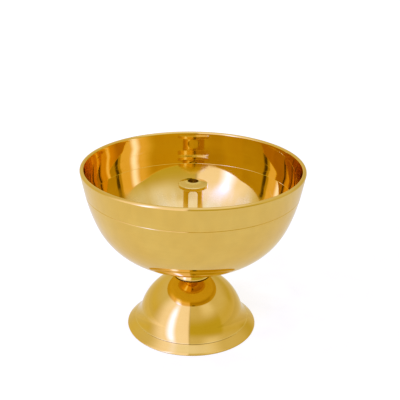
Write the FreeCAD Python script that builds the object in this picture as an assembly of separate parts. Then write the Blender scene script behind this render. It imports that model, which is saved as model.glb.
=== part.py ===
import FreeCAD, Part
import math
import os

# Pedestal oil-lamp bowl: a turned brass bowl on a spun, hollow foot, with a
# slotted wick holder screwed up through the middle of the bowl.
#
# Millimetres, +Z up.  The origin is the centre of the foot's resting face,
# and the common axis of every turned piece is the Z axis.
# A profile point is (radius, height).  A slope is measured in degrees from
# the vertical, for a wall that runs downwards and inwards.

# ---- driving dimensions ---------------------------------------------------

TOTAL_HEIGHT = 101.5
BOWL_DIAMETER = 127.0
FOOT_DIAMETER = 77.4

# bowl
LIP_RADIUS = 1.2
BOWL_UNDERSIDE = 44.35
BOWL_FLOOR_THICKNESS = 2.0
OUTER_FLARE = 10.5
OUTER_FLARE_END = 89.4
OUTER_SHOULDER_RADIUS = 92.4
OUTER_SHOULDER_SLOPE = 23.07
INNER_FLARE = 4.4
INNER_FLARE_END = 94.2
INNER_UPPER_RADIUS = 62.0
INNER_UPPER_SLOPE = 12.4
INNER_LEDGE_HEIGHT = 81.4
INNER_LEDGE = 0.08
INNER_MIDDLE_RADIUS = 80.0
INNER_MIDDLE_SLOPES = (14.3, 19.8)
INNER_LOWER_RADIUS = 45.1
INNER_LOWER_SLOPE = 35.0
OUTER_LINE_HEIGHT = 87.7
OUTER_LINE_WIDTH = 0.5
OUTER_LINE_DEPTH = 0.22
BOWL_HOLE_RADIUS = 2.65

# foot
FOOT_WALL = 2.0
DOME_RADIUS = 31.8
DOME_CENTRE_HEIGHT = 1.8
CROWN_RADIUS = 40.0
CROWN_START = 45.0
CROWN_SEAT_RADIUS = 10.9
DOME_END_SLOPE = 17.3
FLARE_RADIUS = 16.0
FLARE_END_SLOPE = 47.5
BRIM_EDGE_HEIGHT = 0.95
BRIM_EDGE_ROUND = 0.3
BRIM_LINE_HEIGHT = 4.9
BRIM_LINE_WIDTH = 0.35
BRIM_LINE_DEPTH = 0.12
CROWN_HOLE_RADIUS = 2.6

# screw joint, M5 coarse
SCREW_RADIUS = 2.5
SCREW_PITCH = 0.8
THREAD_CLEARANCE = 0.06
HEX_FLATS = 8.0
SCREW_HEAD_HEIGHT = 3.5
SCREW_PROJECTION = 6.8
SCREW_END_CHAMFER = 0.4
PLAIN_WASHER_RADIUS = 5.0
PLAIN_WASHER_THICKNESS = 1.0
SPRING_WASHER_RADIUS = 4.6
SPRING_WASHER_THICKNESS = 1.2
SPRING_WASHER_GAP = 0.8
JAM_NUT_HEIGHT = 2.7
WASHER_BORE_RADIUS = 2.65

# neck collar between the foot and the bowl
COLLAR_BASE_RADIUS = 10.9
COLLAR_TOP_RADIUS = 8.6
COLLAR_EDGE = 0.25
COUNTERBORE_RADIUS = 5.4
COUNTERBORE_DEPTH = 2.7

# fibre washers
FIBRE_THICKNESS = 0.8
CROWN_WASHER_THICKNESS = 0.5
CROWN_WASHER_RADIUS = 10.4
BOWL_SEAL_RADIUS = 8.2
HOLDER_SEAL_RADIUS = 8.0

# wick holder
HOLDER_BASE_RADIUS = 8.4
HOLDER_BASE_THICKNESS = 2.4
HOLDER_TUBE_RADIUS = 5.75
HOLDER_DISC_RADIUS = 8.4
HOLDER_DISC_UNDERSIDE = 88.2
HOLDER_DISC_EDGE_TOP = 90.3
HOLDER_TOP = 91.7
WICK_BORE_RADIUS = 3.0
WICK_BORE_BOTTOM = 51.5
SLOT_WIDTH = 5.3
SLOT_BOTTOM = 54.0
SLOT_TOP = 87.6
SPIGOT_GAP = 0.5
HOLDER_EDGE_BREAK = 0.25

# ---- heights that follow from the stack -----------------------------------

CROWN_OFFSET = (CROWN_RADIUS - DOME_RADIUS) * math.cos(math.radians(CROWN_START))
CROWN_CENTRE_HEIGHT = DOME_CENTRE_HEIGHT - (CROWN_RADIUS - DOME_RADIUS) * math.sin(math.radians(CROWN_START))
CROWN_SEAT = CROWN_CENTRE_HEIGHT + math.sqrt(CROWN_RADIUS ** 2 - (CROWN_SEAT_RADIUS + CROWN_OFFSET) ** 2)
CROWN_INSIDE = CROWN_SEAT - FOOT_WALL
PLAIN_WASHER_BOTTOM = CROWN_INSIDE - PLAIN_WASHER_THICKNESS
SPRING_WASHER_BOTTOM = PLAIN_WASHER_BOTTOM - SPRING_WASHER_THICKNESS
SCREW_HEAD_BOTTOM = SPRING_WASHER_BOTTOM - SCREW_HEAD_HEIGHT
SCREW_TOP = CROWN_SEAT + SCREW_PROJECTION
COLLAR_BOTTOM = CROWN_SEAT + CROWN_WASHER_THICKNESS
COLLAR_TOP = BOWL_UNDERSIDE - FIBRE_THICKNESS
BOWL_FLOOR = BOWL_UNDERSIDE + BOWL_FLOOR_THICKNESS
HOLDER_BOTTOM = BOWL_FLOOR + FIBRE_THICKNESS
SPIGOT_BOTTOM = SCREW_TOP + SPIGOT_GAP

Z = FreeCAD.Vector(0, 0, 1)


# ---- drawing helpers ------------------------------------------------------

def at(point):
    return FreeCAD.Vector(point[0], 0, point[1])


def line(start, end):
    return Part.makeLine(at(start), at(end))


def arc(start, middle, end):
    return Part.Arc(at(start), at(middle), at(end)).toShape()


def fall(start, slope, end_height):
    """End of a straight wall that falls inwards at a slope."""
    drop = start[1] - end_height
    return (start[0] - drop * math.tan(math.radians(slope)), end_height)


def sweep(start, radius, slope, new_slope):
    """Point reached by a convex arc that turns from one slope to another."""
    a = math.radians(slope)
    b = math.radians(new_slope)
    r = start[0] - radius * (math.cos(a) - math.cos(b))
    z = start[1] - radius * (math.sin(b) - math.sin(a))
    return (r, z)


def bend(start, radius, slope, new_slope):
    """Edge and end point of that arc."""
    middle = sweep(start, radius, slope, 0.5 * (slope + new_slope))
    end = sweep(start, radius, slope, new_slope)
    return arc(start, middle, end), end


def turned(edges):
    """Solid of revolution about the Z axis from a closed profile."""
    wire = Part.Wire(Part.sortEdges(edges)[0])
    solid = Part.Face(wire).revolve(FreeCAD.Vector(0, 0, 0), Z, 360)
    if solid.Volume < 0:
        solid.reverse()
    return solid


def polygon(points):
    return [line(a, b) for a, b in zip(points, points[1:] + points[:1])]


def cylinder(radius, bottom, top):
    return Part.makeCylinder(radius, top - bottom, FreeCAD.Vector(0, 0, bottom))


def ring(outer, inner, bottom, top):
    return cylinder(outer, bottom, top).cut(cylinder(inner, bottom - 1, top + 1))


def hexagon(flats, bottom, top):
    reach = flats / math.sqrt(3)
    corners = []
    for k in range(7):
        angle = math.radians(60 * k)
        corners.append(FreeCAD.Vector(reach * math.cos(angle), reach * math.sin(angle), bottom))
    face = Part.Face(Part.makePolygon(corners))
    return face.extrude(FreeCAD.Vector(0, 0, top - bottom))


def scribe_tool(point, slope, width, deep):
    """Ring with a triangular section that cuts a fine turned line in an outside wall."""
    a = math.radians(slope)
    along = (math.sin(a), math.cos(a))
    into = (-math.cos(a), math.sin(a))
    half = 0.5 * width
    lift = 0.2
    upper = (point[0] + half * along[0] - lift * into[0], point[1] + half * along[1] - lift * into[1])
    lower = (point[0] - half * along[0] - lift * into[0], point[1] - half * along[1] - lift * into[1])
    tip = (point[0] + deep * into[0], point[1] + deep * into[1])
    return turned(polygon([upper, lower, tip]))


# ---- bowl -----------------------------------------------------------------

def make_bowl():
    lip_centre = (BOWL_DIAMETER / 2 - LIP_RADIUS, TOTAL_HEIGHT - LIP_RADIUS)
    out = math.radians(OUTER_FLARE)
    inn = math.radians(INNER_FLARE)
    lip_out = (lip_centre[0] + LIP_RADIUS * math.cos(out), lip_centre[1] - LIP_RADIUS * math.sin(out))
    lip_in = (lip_centre[0] - LIP_RADIUS * math.cos(inn), lip_centre[1] + LIP_RADIUS * math.sin(inn))
    lip_top = (lip_centre[0], TOTAL_HEIGHT)
    quarter = LIP_RADIUS * math.sqrt(0.5)
    lip_outer_middle = (lip_centre[0] + quarter, lip_centre[1] + quarter)
    lip_inner_middle = (lip_centre[0] - quarter, lip_centre[1] + quarter)

    # outside: straight flare, shallow shoulder, then one arc to the flat base
    flare_end = fall(lip_out, OUTER_FLARE, OUTER_FLARE_END)
    shoulder, shoulder_end = bend(flare_end, OUTER_SHOULDER_RADIUS, OUTER_FLARE, OUTER_SHOULDER_SLOPE)
    belly_drop = 1 - math.sin(math.radians(OUTER_SHOULDER_SLOPE))
    belly_radius = (shoulder_end[1] - BOWL_UNDERSIDE) / belly_drop
    belly, base_edge = bend(shoulder_end, belly_radius, OUTER_SHOULDER_SLOPE, 90)

    # inside: turned in two settings that meet at a fine ledge
    inner_flare_end = fall(lip_in, INNER_FLARE, INNER_FLARE_END)
    upper, upper_end = bend(inner_flare_end, INNER_UPPER_RADIUS, INNER_FLARE, INNER_UPPER_SLOPE)
    ledge_top = fall(upper_end, INNER_UPPER_SLOPE, INNER_LEDGE_HEIGHT)
    ledge_end = (ledge_top[0] - INNER_LEDGE, ledge_top[1] - INNER_LEDGE)
    middle, middle_end = bend(ledge_end, INNER_MIDDLE_RADIUS, *INNER_MIDDLE_SLOPES)
    lower, lower_end = bend(middle_end, INNER_LOWER_RADIUS, INNER_MIDDLE_SLOPES[1], INNER_LOWER_SLOPE)
    dish_drop = 1 - math.sin(math.radians(INNER_LOWER_SLOPE))
    dish_radius = (lower_end[1] - BOWL_FLOOR) / dish_drop
    dish, floor_edge = bend(lower_end, dish_radius, INNER_LOWER_SLOPE, 90)

    edges = [
        arc(lip_in, lip_inner_middle, lip_top),
        arc(lip_top, lip_outer_middle, lip_out),
        line(lip_out, flare_end),
        shoulder,
        belly,
        line(base_edge, (BOWL_HOLE_RADIUS, BOWL_UNDERSIDE)),
        line((BOWL_HOLE_RADIUS, BOWL_UNDERSIDE), (BOWL_HOLE_RADIUS, BOWL_FLOOR)),
        line((BOWL_HOLE_RADIUS, BOWL_FLOOR), floor_edge),
        dish,
        lower,
        middle,
        line(ledge_end, ledge_top),
        line(ledge_top, upper_end),
        upper,
        line(inner_flare_end, lip_in),
    ]
    bowl = turned(edges)

    # fine turned line around the outside, below the lip
    drop = (OUTER_FLARE_END - OUTER_LINE_HEIGHT) / OUTER_SHOULDER_RADIUS
    line_slope = math.degrees(math.asin(math.sin(out) + drop))
    line_point = sweep(flare_end, OUTER_SHOULDER_RADIUS, OUTER_FLARE, line_slope)
    return bowl.cut(scribe_tool(line_point, line_slope, OUTER_LINE_WIDTH, OUTER_LINE_DEPTH))


# ---- foot -----------------------------------------------------------------

def dome_point(wall, elevation):
    """Point on the dome, a wall thickness inside its outer surface."""
    a = math.radians(elevation)
    radius = DOME_RADIUS - wall
    return (radius * math.cos(a), DOME_CENTRE_HEIGHT + radius * math.sin(a))


def crown_point(wall, elevation):
    """Point on the flatter arc above the dome; its centre lies past the axis."""
    a = math.radians(elevation)
    radius = CROWN_RADIUS - wall
    return (radius * math.cos(a) - CROWN_OFFSET, CROWN_CENTRE_HEIGHT + radius * math.sin(a))


def crown_edges(wall, top):
    """Crown and dome arcs from the seat's height down to the end of the dome."""
    seat_angle = math.degrees(math.asin((top - CROWN_CENTRE_HEIGHT) / (CROWN_RADIUS - wall)))
    seat = crown_point(wall, seat_angle)
    crown_middle = crown_point(wall, 0.5 * (seat_angle + CROWN_START))
    shoulder = crown_point(wall, CROWN_START)
    dome_middle = dome_point(wall, 0.5 * (CROWN_START + DOME_END_SLOPE))
    dome_end = dome_point(wall, DOME_END_SLOPE)
    return seat, dome_end, [arc(seat, crown_middle, shoulder), arc(shoulder, dome_middle, dome_end)]


def flare_point(start, radius, slope, new_slope):
    """Point on a concave arc that spreads outwards below the dome."""
    a = math.radians(slope)
    b = math.radians(new_slope)
    r = start[0] + radius * (math.cos(a) - math.cos(b))
    z = start[1] - radius * (math.sin(b) - math.sin(a))
    return (r, z)


def make_foot():
    inner_flare = FLARE_RADIUS + FOOT_WALL
    rim = FOOT_DIAMETER / 2
    spread = math.tan(math.radians(FLARE_END_SLOPE))
    middle_slope = 0.5 * (DOME_END_SLOPE + FLARE_END_SLOPE)

    # outside, from the crown seat down, and inside, one wall thickness away
    seat_edge, dome_end, outer_dome = crown_edges(0, CROWN_SEAT)
    flare_middle = flare_point(dome_end, FLARE_RADIUS, DOME_END_SLOPE, middle_slope)
    flare_end = flare_point(dome_end, FLARE_RADIUS, DOME_END_SLOPE, FLARE_END_SLOPE)
    inner_seat, inner_end, inner_dome = crown_edges(FOOT_WALL, CROWN_INSIDE)
    skirt_middle = flare_point(inner_end, inner_flare, DOME_END_SLOPE, middle_slope)
    skirt_end = flare_point(inner_end, inner_flare, DOME_END_SLOPE, FLARE_END_SLOPE)

    # brim: straight skirt, softened outer edge and a flat resting ring
    edge_top = (flare_end[0] + (flare_end[1] - BRIM_EDGE_HEIGHT) * spread, BRIM_EDGE_HEIGHT)
    edge_out = (rim, BRIM_EDGE_HEIGHT / 2)
    edge_bottom = (rim - BRIM_EDGE_ROUND, 0)
    rest_inner = (skirt_end[0] + skirt_end[1] * spread, 0)

    edges = outer_dome + inner_dome + [
        line((CROWN_HOLE_RADIUS, CROWN_SEAT), seat_edge),
        arc(dome_end, flare_middle, flare_end),
        line(flare_end, edge_top),
        arc(edge_top, edge_out, edge_bottom),
        line(edge_bottom, rest_inner),
        line(rest_inner, skirt_end),
        arc(skirt_end, skirt_middle, inner_end),
        line(inner_seat, (CROWN_HOLE_RADIUS, CROWN_INSIDE)),
        line((CROWN_HOLE_RADIUS, CROWN_INSIDE), (CROWN_HOLE_RADIUS, CROWN_SEAT)),
    ]

    # fine turned line around the skirt
    line_point = (edge_top[0] - (BRIM_LINE_HEIGHT - edge_top[1]) * spread, BRIM_LINE_HEIGHT)
    return turned(edges).cut(scribe_tool(line_point, -FLARE_END_SLOPE, BRIM_LINE_WIDTH, BRIM_LINE_DEPTH))


# ---- fastenings inside the foot -------------------------------------------

def make_foot_screw():
    head = hexagon(HEX_FLATS, SCREW_HEAD_BOTTOM, SPRING_WASHER_BOTTOM)
    face_radius = HEX_FLATS / 2
    spread = 2 * SCREW_HEAD_HEIGHT
    crown = Part.makeCone(face_radius, face_radius + spread, spread, FreeCAD.Vector(0, 0, SCREW_HEAD_BOTTOM))
    head = head.common(crown)
    end = SCREW_TOP - SCREW_END_CHAMFER
    tip_radius = SCREW_RADIUS - SCREW_END_CHAMFER
    shank = cylinder(SCREW_RADIUS, SPRING_WASHER_BOTTOM, end)
    point = Part.makeCone(SCREW_RADIUS, tip_radius, SCREW_END_CHAMFER, FreeCAD.Vector(0, 0, end))
    return head.fuse(shank).fuse(point).removeSplitter()


def make_spring_washer():
    washer = ring(SPRING_WASHER_RADIUS, WASHER_BORE_RADIUS, SPRING_WASHER_BOTTOM, PLAIN_WASHER_BOTTOM)
    gap = Part.makeBox(10, SPRING_WASHER_GAP, 4, FreeCAD.Vector(0, -SPRING_WASHER_GAP / 2, -2))
    gap.rotate(FreeCAD.Vector(0, 0, 0), FreeCAD.Vector(1, 0, 0), 20)
    gap.translate(FreeCAD.Vector(0, 0, 0.5 * (SPRING_WASHER_BOTTOM + PLAIN_WASHER_BOTTOM)))
    return washer.cut(gap)


def make_jam_nut():
    top = CROWN_SEAT + JAM_NUT_HEIGHT
    nut = hexagon(HEX_FLATS, CROWN_SEAT, top)
    face_radius = HEX_FLATS / 2
    spread = 2 * JAM_NUT_HEIGHT
    chamfer = Part.makeCone(face_radius + spread, face_radius, spread, FreeCAD.Vector(0, 0, top - spread))
    return nut.common(chamfer).cut(cylinder(SCREW_RADIUS, CROWN_SEAT - 1, top + 1))


# ---- neck collar ----------------------------------------------------------

def make_collar():
    """Turned ring that tapers upwards, counterbored for the jam nut and threaded above."""
    bore = SCREW_RADIUS + THREAD_CLEARANCE
    step = COLLAR_BOTTOM + COUNTERBORE_DEPTH
    return turned(polygon([
        (COUNTERBORE_RADIUS, COLLAR_BOTTOM),
        (COLLAR_BASE_RADIUS - COLLAR_EDGE, COLLAR_BOTTOM),
        (COLLAR_BASE_RADIUS, COLLAR_BOTTOM + COLLAR_EDGE),
        (COLLAR_TOP_RADIUS, COLLAR_TOP - COLLAR_EDGE),
        (COLLAR_TOP_RADIUS - COLLAR_EDGE, COLLAR_TOP),
        (bore, COLLAR_TOP),
        (bore, step),
        (COUNTERBORE_RADIUS, step),
    ]))


# ---- wick holder ----------------------------------------------------------

def make_wick_holder():
    base_top = HOLDER_BOTTOM + HOLDER_BASE_THICKNESS
    cut = HOLDER_EDGE_BREAK
    profile = [
        (0, SPIGOT_BOTTOM),
        (SCREW_RADIUS - SCREW_END_CHAMFER, SPIGOT_BOTTOM),
        (SCREW_RADIUS, SPIGOT_BOTTOM + SCREW_END_CHAMFER),
        (SCREW_RADIUS, HOLDER_BOTTOM),
        (HOLDER_BASE_RADIUS, HOLDER_BOTTOM),
        (HOLDER_BASE_RADIUS, base_top - 0.6),
        (HOLDER_BASE_RADIUS - 0.6, base_top),
        (HOLDER_TUBE_RADIUS, base_top),
        (HOLDER_TUBE_RADIUS, HOLDER_DISC_UNDERSIDE),
        (HOLDER_DISC_RADIUS - cut, HOLDER_DISC_UNDERSIDE),
        (HOLDER_DISC_RADIUS, HOLDER_DISC_UNDERSIDE + cut),
        (HOLDER_DISC_RADIUS, HOLDER_DISC_EDGE_TOP - cut),
        (HOLDER_DISC_RADIUS - cut, HOLDER_DISC_EDGE_TOP),
        (WICK_BORE_RADIUS, HOLDER_TOP),
        (WICK_BORE_RADIUS, WICK_BORE_BOTTOM),
        (0, WICK_BORE_BOTTOM),
    ]
    body = turned(polygon(profile))

    # slot through both sides of the tube, with a round upper end
    half = SLOT_WIDTH / 2
    centre = SLOT_TOP - half
    reach = HOLDER_DISC_RADIUS + 1
    corner = FreeCAD.Vector(-half, -reach, SLOT_BOTTOM)
    box = Part.makeBox(SLOT_WIDTH, 2 * reach, centre - SLOT_BOTTOM, corner)
    start = FreeCAD.Vector(0, -reach, centre)
    drill = Part.makeCylinder(half, 2 * reach, start, FreeCAD.Vector(0, 1, 0))
    return body.cut(box.fuse(drill))


# ---- every node -----------------------------------------------------------

nodes = {
    "foot": make_foot(),
    "foot_screw": make_foot_screw(),
    "spring_washer": make_spring_washer(),
    "plain_washer": ring(PLAIN_WASHER_RADIUS, WASHER_BORE_RADIUS, PLAIN_WASHER_BOTTOM, CROWN_INSIDE),
    "jam_nut": make_jam_nut(),
    "crown_washer": ring(CROWN_WASHER_RADIUS, COUNTERBORE_RADIUS, CROWN_SEAT, COLLAR_BOTTOM),
    "neck_collar": make_collar(),
    "bowl_seal": ring(BOWL_SEAL_RADIUS, BOWL_HOLE_RADIUS, COLLAR_TOP, BOWL_UNDERSIDE),
    "bowl": make_bowl(),
    "holder_seal": ring(HOLDER_SEAL_RADIUS, BOWL_HOLE_RADIUS, BOWL_FLOOR, HOLDER_BOTTOM),
    "wick_holder": make_wick_holder(),
}

os.makedirs("parts", exist_ok=True)
for name, shape in nodes.items():
    if shape.ShapeType != "Solid" and len(shape.Solids) == 1:
        shape = shape.Solids[0]
    shape.exportStep("parts/" + name + ".step")
    print(name, shape.isValid(), len(shape.Solids), round(shape.Volume, 1))
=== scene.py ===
import math

import bpy
from mathutils import Matrix, Vector


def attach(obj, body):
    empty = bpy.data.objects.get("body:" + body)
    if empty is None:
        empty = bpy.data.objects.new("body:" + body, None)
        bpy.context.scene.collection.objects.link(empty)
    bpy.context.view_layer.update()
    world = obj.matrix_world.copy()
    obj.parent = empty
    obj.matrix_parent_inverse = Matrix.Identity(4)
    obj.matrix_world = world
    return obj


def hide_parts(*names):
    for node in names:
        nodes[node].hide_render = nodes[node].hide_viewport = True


# Looks for a pedestal oil-lamp bowl.  Metres, +Z up, the lamp stands on z = 0.

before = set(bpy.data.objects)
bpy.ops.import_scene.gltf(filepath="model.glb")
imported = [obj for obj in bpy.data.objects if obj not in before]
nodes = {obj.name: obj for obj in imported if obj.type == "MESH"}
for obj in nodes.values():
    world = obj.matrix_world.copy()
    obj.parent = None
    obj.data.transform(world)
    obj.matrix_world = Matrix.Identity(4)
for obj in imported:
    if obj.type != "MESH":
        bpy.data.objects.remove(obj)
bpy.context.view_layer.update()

MM = 0.001
TURNS = 320                  # steps round a turned surface
STEP = 0.7                   # usual step along a profile
SHARP = 34                   # edges past this angle are drawn sharp

# Lengths below are in millimetres.  A slope is in degrees from the vertical.
RIM_RADIUS = 63.5
RIM_HEIGHT = 101.5
LINE_DEPTH = 0.12            # of the fine turned lines

LIP_RADIUS = 1.2
LIP_CENTRE = (RIM_RADIUS - LIP_RADIUS, RIM_HEIGHT - LIP_RADIUS)
BOWL_BORE = 2.65
BOWL_BOTTOM = 44.35
BOWL_FLOOR = BOWL_BOTTOM + 2.0
OUTER_BAND_SLOPE = 10.5      # straight band under the lip
OUTER_BAND_LOW = 89.4
OUTER_ARC = 92.4
OUTER_ARC_SLOPE = 23.07      # slope where the last arc takes over
OUTER_LINE = 87.7            # height of the turned line
INNER_BAND_SLOPE = 4.4
INNER_BAND_LOW = 94.2
INNER_ARC = 62.0
LEDGE_SLOPE = 12.4
LEDGE_HEIGHT = 81.4
LEDGE = 0.08                 # width and height of the step in the wall
LEDGE_MARGIN = 0.06          # to the extra points above and below it
UNDER_LEDGE_SLOPE = 14.3
UPPER_WALL_ARC = 80.0
UPPER_WALL_SLOPE = 19.8
LOWER_WALL_ARC = 45.1
LOWER_WALL_SLOPE = 35.0

FOOT_BORE = 2.6
FOOT_WALL = 2.0
SEAT_RADIUS = 10.9           # of the flat under the neck
CROWN_ARC = 40.0
CROWN_START = 45             # degrees above the level where the crown arc takes over from the dome
DOME_ARC = 31.8
DOME_CENTRE = 1.8
DOME_SLOPE = 17.3            # slope where the flare takes over from the dome
FLARE_ARC = 16.0
BRIM_SLOPE = 47.5
BRIM_EDGE = 0.95
FOOT_LINE = 4.9
FOOT_STEPS = 32              # steps along the crown, and along the dome
FLARE_STEPS = 24
CROWN_OFFSET = (CROWN_ARC - DOME_ARC) * math.cos(math.radians(CROWN_START))
CROWN_CENTRE = DOME_CENTRE - (CROWN_ARC - DOME_ARC) * math.sin(math.radians(CROWN_START))
FOOT_SEAT = CROWN_CENTRE + math.sqrt(CROWN_ARC ** 2 - (SEAT_RADIUS + CROWN_OFFSET) ** 2)

COLLAR_LOW = FOOT_SEAT + 0.5         # on a thin washer
COLLAR_HIGH = BOWL_BOTTOM - 0.8      # below the bowl's seal
COLLAR_BASE = SEAT_RADIUS
COLLAR_TOP = 8.6
COLLAR_EDGE = 0.25
COLLAR_BORE = 2.56
COUNTERBORE = 5.4
COUNTERBORE_DEPTH = 2.7


# ---- profiles: (radius, height) ----------------------------------------------

def straight(start, end):
    count = max(1, int(math.dist(start, end) / STEP))
    return [(start[0] + (end[0] - start[0]) * k / count, start[1] + (end[1] - start[1]) * k / count)
            for k in range(1, count + 1)]


def sweep(start, radius, slope, new_slope):
    """Points of an arc whose slope from the vertical turns from one value to another."""
    count = max(2, int(radius * abs(math.radians(new_slope - slope)) / STEP))
    a = math.radians(slope)
    points = []
    for k in range(1, count + 1):
        b = math.radians(slope + (new_slope - slope) * k / count)
        points.append((start[0] - radius * (math.cos(a) - math.cos(b)),
                       start[1] - radius * (math.sin(b) - math.sin(a))))
    return points


def fall(start, slope, height):
    return (start[0] - (start[1] - height) * math.tan(math.radians(slope)), height)


def round_points(centre, radius, start, stop, count):
    return [(centre[0] + radius * math.cos(math.radians(start + (stop - start) * k / count)),
             centre[1] + radius * math.sin(math.radians(start + (stop - start) * k / count)))
            for k in range(count + 1)]


def scribed(points, height, half):
    """Presses a fine turned line, 2 * half wide, into an outer profile that falls past a height."""
    out = []
    for p, q in zip(points, points[1:] + [None]):
        out.append(p)
        if q and p[1] > height >= q[1]:
            length = math.dist(p, q)
            run = ((q[0] - p[0]) / length, (q[1] - p[1]) / length)
            share = (p[1] - height) / (p[1] - q[1])
            middle = (p[0] + (q[0] - p[0]) * share, height)
            into = (run[1], -run[0])
            for s in (-1.25, -1.0, -0.55, 0.0, 0.55, 1.0, 1.25):
                d = LINE_DEPTH * max(0.0, 1 - s * s) ** 1.5
                out.append((middle[0] + run[0] * s * half + into[0] * d,
                            middle[1] + run[1] * s * half + into[1] * d))
    return out


def quarter_radius(point, slope, level):
    """Radius of the arc that carries on from a point and runs level at a height."""
    return (point[1] - level) / (1 - math.sin(math.radians(slope)))


def bowl_profile():
    outside = round_points(LIP_CENTRE, LIP_RADIUS, 90, -OUTER_BAND_SLOPE, 14)
    outside += straight(outside[-1], fall(outside[-1], OUTER_BAND_SLOPE, OUTER_BAND_LOW))
    outside += sweep(outside[-1], OUTER_ARC, OUTER_BAND_SLOPE, OUTER_ARC_SLOPE)
    outside = scribed(outside, OUTER_LINE, 0.22)
    radius = quarter_radius(outside[-1], OUTER_ARC_SLOPE, BOWL_BOTTOM)
    outside += sweep(outside[-1], radius, OUTER_ARC_SLOPE, 90)
    outside += straight(outside[-1], (BOWL_BORE, BOWL_BOTTOM))

    inside = round_points(LIP_CENTRE, LIP_RADIUS, 90, 180 - INNER_BAND_SLOPE, 12)
    inside += straight(inside[-1], fall(inside[-1], INNER_BAND_SLOPE, INNER_BAND_LOW))
    inside += sweep(inside[-1], INNER_ARC, INNER_BAND_SLOPE, LEDGE_SLOPE)
    inside += straight(inside[-1], fall(inside[-1], LEDGE_SLOPE, LEDGE_HEIGHT))
    # a point just above and just below the ledge keeps its shading narrow
    ledge = inside[-1]
    under = (ledge[0] - LEDGE, ledge[1] - LEDGE)
    inside.insert(-1, fall(ledge, LEDGE_SLOPE, ledge[1] + LEDGE_MARGIN))
    inside += [under, fall(under, UNDER_LEDGE_SLOPE, under[1] - LEDGE_MARGIN)]
    inside += sweep(under, UPPER_WALL_ARC, UNDER_LEDGE_SLOPE, UPPER_WALL_SLOPE)
    inside += sweep(inside[-1], LOWER_WALL_ARC, UPPER_WALL_SLOPE, LOWER_WALL_SLOPE)
    radius = quarter_radius(inside[-1], LOWER_WALL_SLOPE, BOWL_FLOOR)
    inside += sweep(inside[-1], radius, LOWER_WALL_SLOPE, 90)
    inside += straight(inside[-1], (BOWL_BORE, BOWL_FLOOR))
    return outside[::-1] + inside[1:]


def foot_wall(depth, top):
    """Crown arc, dome arc and flare of the foot, a depth inside its outer surface."""
    crown = CROWN_ARC - depth
    first = math.degrees(math.asin((top - CROWN_CENTRE) / crown))
    points = round_points((-CROWN_OFFSET, CROWN_CENTRE), crown, first, CROWN_START, FOOT_STEPS)
    points += round_points((0, DOME_CENTRE), DOME_ARC - depth, CROWN_START, DOME_SLOPE, FOOT_STEPS)[1:]
    waist, turn = points[-1], FLARE_ARC + depth
    a = math.radians(DOME_SLOPE)
    for k in range(1, FLARE_STEPS + 1):
        b = math.radians(DOME_SLOPE + (BRIM_SLOPE - DOME_SLOPE) * k / FLARE_STEPS)
        points.append((waist[0] + turn * (math.cos(a) - math.cos(b)),
                       waist[1] - turn * (math.sin(b) - math.sin(a))))
    return points


def foot_profile():
    spread = math.tan(math.radians(BRIM_SLOPE))
    wall = foot_wall(0.0, FOOT_SEAT)
    outside = [(FOOT_BORE, FOOT_SEAT)] + straight((FOOT_BORE, FOOT_SEAT), wall[0]) + wall[1:]
    low = outside[-1]
    outside += straight(low, (low[0] + (low[1] - BRIM_EDGE) * spread, BRIM_EDGE))
    outside = scribed(outside, FOOT_LINE, 0.2)
    # rounded edge of the brim
    outside += [(38.58, 0.72), (38.68, 0.55), (38.7, 0.4), (38.62, 0.15), (38.4, 0.0)]

    under_seat = (FOOT_BORE, FOOT_SEAT - FOOT_WALL)
    wall = foot_wall(FOOT_WALL, under_seat[1])
    inside = [under_seat] + straight(under_seat, wall[0]) + wall[1:]
    low = inside[-1]
    inside += straight(low, (low[0] + low[1] * spread, 0.0))
    return inside + outside[::-1]


def collar_profile():
    base, top = (COLLAR_BASE, COLLAR_LOW + COLLAR_EDGE), (COLLAR_TOP, COLLAR_HIGH - COLLAR_EDGE)
    outside = [(COLLAR_BASE - COLLAR_EDGE, COLLAR_LOW), (COLLAR_BASE - 0.07, COLLAR_LOW + 0.06), base]
    outside += straight(base, top)
    outside += [(COLLAR_TOP - 0.07, COLLAR_HIGH - 0.07), (COLLAR_TOP - COLLAR_EDGE, COLLAR_HIGH)]
    ceiling = COLLAR_LOW + COUNTERBORE_DEPTH
    bore = [(COLLAR_BORE, COLLAR_HIGH), (COLLAR_BORE, ceiling), (COUNTERBORE, ceiling)]
    return [(COUNTERBORE, COLLAR_LOW)] + outside + bore


# ---- meshes ---------------------------------------------------------------

def turned(name, profile):
    """Mesh made by turning a closed profile about Z.  Outside faces point outwards."""
    verts = []
    for k in range(TURNS):
        a = 2 * math.pi * k / TURNS
        c, s = math.cos(a) * MM, math.sin(a) * MM
        verts += [(r * c, r * s, z * MM) for r, z in profile]
    count = len(profile)
    faces = []
    for k in range(TURNS):
        here, there = k * count, (k + 1) % TURNS * count
        for i in range(count):
            j = (i + 1) % count
            faces.append((here + i, there + i, there + j, here + j))
    mesh = bpy.data.meshes.new(name)
    mesh.from_pydata(verts, [], faces)
    mesh.update()
    mesh.shade_smooth()
    mesh.set_sharp_from_angle(angle=math.radians(SHARP))
    thing = bpy.data.objects.new(name, mesh)
    bpy.context.scene.collection.objects.link(thing)
    return thing


def build(name, profile, node, body):
    """Finely turned skin that takes the place of a CAD node."""
    thing = turned(name, profile)
    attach(thing, body)
    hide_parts(node)
    return thing


bowl = build("bowl_skin", bowl_profile(), "bowl", "bowl_unit")
foot = build("foot_skin", foot_profile(), "foot", "stand")
collar = build("collar_skin", collar_profile(), "neck_collar", "bowl_unit")


# ---- looks ------------------------------------------------------------------

# colours, as linear red, green and blue
BRASS = (0.83, 0.575, 0.14)
HOLDER_BRASS = (0.80, 0.57, 0.14)
# pale brass painted in the bowl floor's fans as a highlight
FAN_HIGHLIGHT_BRASS = (0.93, 0.76, 0.34)
# dark brown painted into creases, as tarnish and as painted shade
CREASE_TARNISH_SHADE = (0.16, 0.075, 0.025)
# deep brown painted inside the wick hole as shade
BORE_SHADE = (0.34, 0.18, 0.04)


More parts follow.
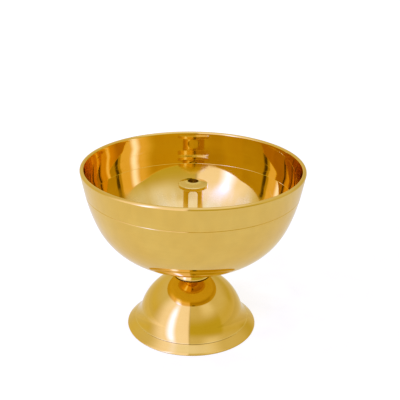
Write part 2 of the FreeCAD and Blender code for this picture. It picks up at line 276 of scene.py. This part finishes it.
class Nodes:
    """Short way to write a node tree."""

    def __init__(self, tree):
        self.tree = tree

    def add(self, kind, values=(), **settings):
        made = self.tree.nodes.new(kind)
        for key, value in settings.items():
            setattr(made, key, value)
        for key, value in dict(values).items():
            if isinstance(value, bpy.types.NodeSocket):
                self.tree.links.new(value, made.inputs[key])
            else:
                made.inputs[key].default_value = value
        return made

    def math(self, operation, a, b=0.0, clamp=False):
        return self.add("ShaderNodeMath", {0: a, 1: b}, operation=operation, use_clamp=clamp).outputs[0]

    def times(self, a, b):
        return self.math("MULTIPLY", a, b)

    def ramp(self, value, low, high, to_low=0.0, to_high=1.0):
        values = {"Value": value, "From Min": low, "From Max": high, "To Min": to_low, "To Max": to_high}
        return self.add("ShaderNodeMapRange", values, interpolation_type="SMOOTHSTEP").outputs[0]

    def mix(self, share, a, b):
        made = self.add("ShaderNodeMix", data_type="RGBA")
        for key, value in (("Factor_Float", share), ("A_Color", a), ("B_Color", b)):
            socket = next(s for s in made.inputs if s.identifier == key)
            if isinstance(value, bpy.types.NodeSocket):
                self.tree.links.new(value, socket)
            else:
                socket.default_value = value if key == "Factor_Float" else (*value, 1.0)
        return next(s for s in made.outputs if s.identifier == "Result_Color")

    def noise(self, vector, scale, detail=2.0, rough=0.5):
        values = {"Vector": vector, "Scale": scale, "Detail": detail, "Roughness": rough}
        return self.add("ShaderNodeTexNoise", values).outputs["Fac"]


def new_material(name):
    material = bpy.data.materials.new(name)
    material.use_nodes = True
    tree = material.node_tree
    return material, Nodes(tree), tree.nodes["Principled BSDF"]


def turned_coordinates(n, fall_sign):
    """Object position, and a vector that runs along the profile and round the axis."""
    place = n.add("ShaderNodeTexCoord").outputs["Object"]
    x, y, z = n.add("ShaderNodeSeparateXYZ", {0: place}).outputs
    square = n.math("ADD", n.times(x, x), n.times(y, y))
    radius = n.math("MAXIMUM", n.math("SQRT", square), 1e-4)
    along = n.math("ADD", radius, n.times(z, fall_sign))
    streak = n.add("ShaderNodeCombineXYZ", {
        0: n.times(along, 1 / MM),
        1: n.math("DIVIDE", x, radius),
        2: n.math("DIVIDE", y, radius),
    }).outputs[0]
    return place, streak, radius


def creases(n, reach, open_sky):
    """1 in corners and grooves narrower than a reach in metres, 0 where the surface is open."""
    sky = n.add("ShaderNodeAmbientOcclusion", {"Distance": reach}, samples=6).outputs["AO"]
    return n.ramp(sky, open_sky, 0.25)


def add_floor_fans(n, shader, streak, radius, strength):
    """The floor of the bowl keeps its circular brushing and gleams in pale fans, which are also painted on as
    a pale highlight tint.
    Returns the added roughness, the added height and the share of the pale tint."""
    normal = n.add("ShaderNodeSeparateXYZ", {0: n.add("ShaderNodeNewGeometry").outputs["Normal"]})
    floor = n.times(n.ramp(normal.outputs[2], 0.34, 0.62), n.ramp(radius, 0.053, 0.060, 1.0, 0.0))
    stretch = {0: streak, 1: (0.02, 3.5, 3.5)}
    around = n.add("ShaderNodeVectorMath", stretch, operation="MULTIPLY").outputs[0]
    fans = n.noise(around, 1.0, 2.5, 0.5)
    spin = n.add("ShaderNodeTangent", direction_type="RADIAL", axis="Z")
    n.tree.links.new(spin.outputs[0], shader.inputs["Tangent"])
    n.tree.links.new(n.times(floor, 0.75), shader.inputs["Anisotropic"])
    rough = n.times(n.times(floor, n.ramp(fans, 0.35, 0.7, 0.6, 1.3)), strength)
    height = n.times(n.times(fans, floor), 4.0e-6)
    pale = n.times(n.ramp(fans, 0.40, 0.62, 0.2, 0.8), floor)
    return rough, height, pale


def brass(name, colour, fall_sign, gloss, marks, dull, brushed_floor=0.0, shaded_bore=0.0):
    """Turned and polished brass: rings from the tool, hairlines, smears, tarnish and painted shade in
    creases, edges paled by wear and by a painted highlight.
    gloss is the roughness where it's clean, marks the height of the rings, dull how much a smear adds.
    fall_sign is -1 where the surface falls outwards, as on the foot, and 1 elsewhere.
    brushed_floor is the roughness of the bowl's floor; the last argument is the radius inside which the bore
    is darkened with painted shade."""
    material, n, shader = new_material(name)
    place, streak, radius = turned_coordinates(n, fall_sign)
    rings = n.noise(streak, 0.9, 3.0, 0.6)
    hairs = n.noise(streak, 4.5, 2.0, 0.7)
    cloud = n.noise(place, 38.0, 4.0, 0.55)
    smear = n.ramp(n.noise(place, 75.0, 3.0, 0.6), 0.52, 0.72)
    crease = creases(n, 0.0012, 0.75)
    edge = n.ramp(n.add("ShaderNodeNewGeometry").outputs["Pointiness"], 0.515, 0.56)
    deeper = tuple(c * k for c, k in zip(colour, (0.94, 0.88, 0.76)))
    worn_and_highlit_edge = tuple(min(1.0, c * k) for c, k in zip(colour, (1.1, 1.22, 1.65)))
    tint = n.mix(n.ramp(cloud, 0.3, 0.7, 0.0, 0.7), colour, deeper)
    tint = n.mix(n.ramp(rings, 0.35, 0.75, 0.0, 0.28), tint, deeper)
    # edges are paled partly as wear and partly as a painted highlight
    tint = n.mix(n.times(edge, 0.75), tint, worn_and_highlit_edge)
    # painted shade: creases and joints are darkened toward tarnish brown, partly for tarnish and partly for
    # the shade that falls there
    tint = n.mix(n.times(crease, 0.75), tint, CREASE_TARNISH_SHADE)
    if shaded_bore:
        # painted shade: inside the wick hole and round its mouth the brass is darkened toward deep brown
        bore = n.times(n.ramp(radius, shaded_bore, shaded_bore + 0.0003, 1.0, 0.0), 0.8)
        tint = n.mix(bore, tint, BORE_SHADE)
        crease = n.math("MAXIMUM", crease, bore)
    rough = n.math("ADD", gloss, n.times(smear, dull))
    rough = n.math("ADD", rough, n.ramp(hairs, 0.35, 0.8, 0.0, gloss * 0.9))
    rough = n.math("ADD", rough, n.times(crease, 0.25), clamp=True)
    height = n.times(n.math("ADD", rings, n.times(hairs, 0.25)), marks)
    if brushed_floor:
        more_rough, more_height, pale = add_floor_fans(n, shader, streak, radius, brushed_floor)
        rough = n.math("ADD", rough, more_rough)
        height = n.math("ADD", height, more_height)
        # painted highlight: the floor's fans are tinted pale brass
        tint = n.mix(pale, tint, FAN_HIGHLIGHT_BRASS)
    bump = n.add("ShaderNodeBump", {"Strength": 1.0, "Distance": 1.0, "Height": height})
    shader.inputs["Metallic"].default_value = 1.0
    n.tree.links.new(tint, shader.inputs["Base Color"])
    n.tree.links.new(rough, shader.inputs["Roughness"])
    n.tree.links.new(bump.outputs[0], shader.inputs["Normal"])
    return material


def steel():
    """Plated steel of the screw, the nut and their washers."""
    material, n, shader = new_material("plated_steel")
    place, streak, _ = turned_coordinates(n, 1.0)
    cloud = n.noise(place, 220.0, 3.0)
    hairs = n.noise(streak, 6.0, 2.0, 0.7)
    crease = creases(n, 0.0015, 0.8)
    tint = n.mix(cloud, (0.58, 0.58, 0.57), (0.44, 0.44, 0.45))
    # painted shade: the steel is darkened toward brown-black in its creases and corners
    tint = n.mix(n.times(crease, 0.7), tint, (0.10, 0.08, 0.06))
    shader.inputs["Metallic"].default_value = 1.0
    n.tree.links.new(tint, shader.inputs["Base Color"])
    n.tree.links.new(n.ramp(hairs, 0.3, 0.8, 0.22, 0.40), shader.inputs["Roughness"])
    bump = n.add("ShaderNodeBump", {"Strength": 1.0, "Distance": 2e-6, "Height": hairs})
    n.tree.links.new(bump.outputs[0], shader.inputs["Normal"])
    return material


def fibre():
    """Red vulcanised fibre of the seals."""
    material, n, shader = new_material("vulcanised_fibre")
    place = n.add("ShaderNodeTexCoord").outputs["Object"]
    grain = n.noise(place, 900.0, 4.0, 0.65)
    tint = n.mix(n.ramp(grain, 0.3, 0.7), (0.075, 0.022, 0.014), (0.17, 0.055, 0.035))
    n.tree.links.new(tint, shader.inputs["Base Color"])
    n.tree.links.new(n.ramp(grain, 0.3, 0.7, 0.55, 0.8), shader.inputs["Roughness"])
    bump = n.add("ShaderNodeBump", {"Strength": 0.6, "Distance": 2e-5, "Height": grain})
    n.tree.links.new(bump.outputs[0], shader.inputs["Normal"])
    return material


def paint(thing, material):
    thing.data.materials.clear()
    thing.data.materials.append(material)


paint(bowl, brass("bowl_brass", BRASS, 1.0, 0.03, 6e-7, 0.05, brushed_floor=0.22))
paint(foot, brass("foot_brass", BRASS, -1.0, 0.035, 6e-7, 0.05))
paint(collar, brass("neck_brass", BRASS, 1.0, 0.09, 1.2e-6, 0.06))
paint(nodes["wick_holder"], brass("holder_brass", HOLDER_BRASS, 1.0, 0.12, 2e-6, 0.08, shaded_bore=0.0031))
plated, red_fibre = steel(), fibre()
for name in ("foot_screw", "spring_washer", "plain_washer", "jam_nut"):
    paint(nodes[name], plated)
for name in ("crown_washer", "bowl_seal", "holder_seal"):
    paint(nodes[name], red_fibre)


# ---- studio -------------------------------------------------------------------
# Soft light comes from all round.  The walls, a white reflector and a softbox are drawn in the world, where
# the brass mirrors them.  Azimuth 0 is towards the camera and positive is to the right.  Lift is the angle
# above the level.  Both are in degrees.

DEGREES = 180 / math.pi
FLOOR_HALF = 3.0
WHITE = (1.05, 1.05, 1.05)


def window(n, value, start, end, soft_start, soft_end):
    """1 between two values and 0 outside, with soft ends."""
    rise = n.ramp(value, start - soft_start, start + soft_start)
    return n.times(rise, n.ramp(value, end - soft_end, end + soft_end, 1.0, 0.0))


def room_light(n, azimuth, lift):
    """Colour of the room in a direction."""
    sides = n.ramp(n.math("ABSOLUTE", azimuth), 60, 100)
    softbox = window(n, azimuth, -50, -38, 9, 8)
    # a ray that has met brass twice leaves from inside the bowl, and passes close to the lens and the softbox
    twice = n.math("GREATER_THAN", n.add("ShaderNodeLightPath").outputs["Ray Depth"], 2.5)
    lens = n.times(window(n, azimuth, 1.5, 11.0, 1.5, 3.0), window(n, lift, 12, 27, 3, 3))
    light = (0.62, 0.535, 0.19)
    layers = (
        # rear left wall, then the side wall on the right
        (window(n, azimuth, -200, -88, 5, 16), (0.76, 0.66, 0.30)),
        (window(n, azimuth, 68, 114, 5, 8), (0.71, 0.63, 0.33)),
        # the walls fade into the floor at the sides and behind
        (n.times(sides, n.ramp(lift, 0, 16, 1.0, 0.0)), (0.74, 0.66, 0.42)),
        # everything is lighter and whiter higher up
        (n.ramp(lift, 8, 40), (0.76, 0.70, 0.58)),
        (n.times(window(n, azimuth, 30, 64, 14, 14), n.ramp(lift, 18, 45)), (0.95, 0.93, 1.15)),
        # white reflector in front on the left, and the softbox that shines through it
        (window(n, azimuth, -80, -5, 18, 4), (1.15, 1.13, 2.0)),
        (n.times(softbox, n.ramp(lift, 30, 56, 1.0, 0.2)), (1.6, 2.1, 9.0)),
        (n.times(n.times(softbox, twice), 0.8), (1.7, 2.7, 26.0)),
        # edge of the reflector, and the dark camera beside it
        (n.times(window(n, azimuth, -4.6, -2.6, 1.2, 1.2), 0.4), (0.36, 0.29, 0.10)),
        (n.times(n.times(lens, twice), 0.9), (0.05, 0.04, 0.02)),
        # ceiling light
        (n.ramp(lift, 52, 64), (1.02, 1.06, 1.7)),
    )
    for mask, colour in layers:
        light = n.mix(mask, light, colour)
    return light


def azimuth_of(n, way):
    return n.times(n.math("ARCTAN2", way.outputs[0], n.times(way.outputs[1], -1.0)), DEGREES)


def studio_world():
    world = bpy.data.worlds.new("studio")
    bpy.context.scene.world = world
    world.use_nodes = True
    tree = world.node_tree
    n = Nodes(tree)
    way = n.add("ShaderNodeSeparateXYZ", {0: n.add("ShaderNodeTexCoord").outputs["Generated"]})
    lift = n.times(n.math("ARCSINE", way.outputs[2]), DEGREES)
    seen = n.add("ShaderNodeLightPath").outputs["Is Camera Ray"]
    light = n.mix(seen, room_light(n, azimuth_of(n, way), lift), WHITE)
    tree.links.new(light, tree.nodes["Background"].inputs["Color"])
    tree.nodes["Background"].inputs["Strength"].default_value = 1.0


def floor_material():
    """Pale sheet.  Past its edge the walls and the reflector begin, so mirrors see their light there."""
    material = bpy.data.materials.new("floor")
    material.use_nodes = True
    material.node_tree.nodes.clear()
    n = Nodes(material.node_tree)
    place = n.add("ShaderNodeTexCoord").outputs["Object"]
    way = n.add("ShaderNodeSeparateXYZ", {0: place})
    reach = n.add("ShaderNodeVectorMath", {0: place}, operation="LENGTH").outputs["Value"]
    surface = n.add("ShaderNodeNewGeometry")
    steep = n.add("ShaderNodeSeparateXYZ", {0: surface.outputs["Incoming"]}).outputs[2]
    seen = n.add("ShaderNodeLightPath").outputs["Is Camera Ray"]
    near = n.times(n.ramp(reach, 0.19, 0.30, 1.0, 0.0), n.ramp(steep, 0.08, 0.5))
    paper = n.mix(seen, n.mix(near, (0.0, 0.0, 0.0), (0.24, 0.24, 0.24)), (0.34, 0.34, 0.34))
    shine = n.mix(near, room_light(n, azimuth_of(n, way), 0.0), (0.62, 0.60, 0.52))
    shine = n.mix(seen, shine, (0.78, 0.78, 0.78))
    grain = n.ramp(n.noise(place, 40.0, 3.0), 0.3, 0.7, 0.97, 1.03)
    # painted light: the floor glows with light of its own, a little brighter on the left and dimmer on the
    # right, as the light falls
    fade = n.times(grain, n.ramp(way.outputs[0], -0.25, 0.25, 1.07, 0.93))
    diffuse = n.add("ShaderNodeBsdfDiffuse", {"Color": paper})
    own = n.add("ShaderNodeEmission", {"Color": shine, "Strength": fade})
    both = n.add("ShaderNodeAddShader", {0: diffuse.outputs[0], 1: own.outputs[0]})
    # see-through from below, so the underside of the foot can be looked at
    clear = n.add("ShaderNodeBsdfTransparent")
    sides = {0: surface.outputs["Backfacing"], 1: both.outputs[0], 2: clear.outputs[0]}
    n.add("ShaderNodeOutputMaterial", {0: n.add("ShaderNodeMixShader", sides).outputs[0]})
    return material


def studio_floor():
    edge = FLOOR_HALF
    corners = [(-edge, -edge, 0), (edge, -edge, 0), (edge, edge, 0), (-edge, edge, 0)]
    mesh = bpy.data.meshes.new("floor")
    mesh.from_pydata(corners, [], [(0, 1, 2, 3)])
    mesh.materials.append(floor_material())
    floor = bpy.data.objects.new("floor", mesh)
    bpy.context.scene.collection.objects.link(floor)


studio_world()
studio_floor()


# ---- camera -------------------------------------------------------------------
# Angles are in radians.  The camera looks down on the middle of the rim, then turns a little off it.

CAMERA_DISTANCE = 6.74996773     # in radii of the rim
CAMERA_LIFT = 0.345311626
CAMERA_PITCH = -0.0464218623
CAMERA_YAW = -0.00936196812
CAMERA_ROLL = -0.012688233
LENS = 68.426
SENSOR = 36.0


def aimed_camera():
    distance = CAMERA_DISTANCE * RIM_RADIUS * MM
    place = Vector((0, -distance * math.cos(CAMERA_LIFT),
                    distance * math.sin(CAMERA_LIFT) + RIM_HEIGHT * MM))
    ahead = Vector((0, math.cos(CAMERA_LIFT), -math.sin(CAMERA_LIFT)))
    right = Vector((1, 0, 0))
    up = right.cross(ahead)
    spin = Matrix.Rotation(CAMERA_PITCH, 3, right)
    ahead, right, up = spin @ ahead, spin @ right, spin @ up
    spin = Matrix.Rotation(CAMERA_YAW, 3, up)
    ahead, right, up = spin @ ahead, spin @ right, spin @ up
    spin = Matrix.Rotation(CAMERA_ROLL, 3, ahead)
    right, up = spin @ right, spin @ up
    data = bpy.data.cameras.new("camera")
    data.sensor_width = SENSOR
    data.lens = LENS
    data.clip_start = 0.01
    camera = bpy.data.objects.new("camera", data)
    bpy.context.scene.collection.objects.link(camera)
    turn = Matrix((right, up, -ahead)).transposed().to_4x4()
    camera.matrix_world = Matrix.Translation(place) @ turn
    bpy.context.scene.camera = camera


def tone(view):
    """Plain view with one weak curve, which presses down the faint blue left in the deepest golds."""
    view.view_transform = "Standard"
    view.use_curve_mapping = True
    blue = view.curve_mapping.curves[2]
    for level, pressed in ((0.009, 0.0018), (0.021, 0.008), (0.040, 0.033), (0.065, 0.063), (0.12, 0.118)):
        blue.points.new(level, pressed)
    view.curve_mapping.update()


scene = bpy.context.scene
aimed_camera()
tone(scene.view_settings)
# light meets brass many times in the corner of the wall and the near rim
scene.cycles.glossy_bounces = 12
scene.cycles.max_bounces = 16
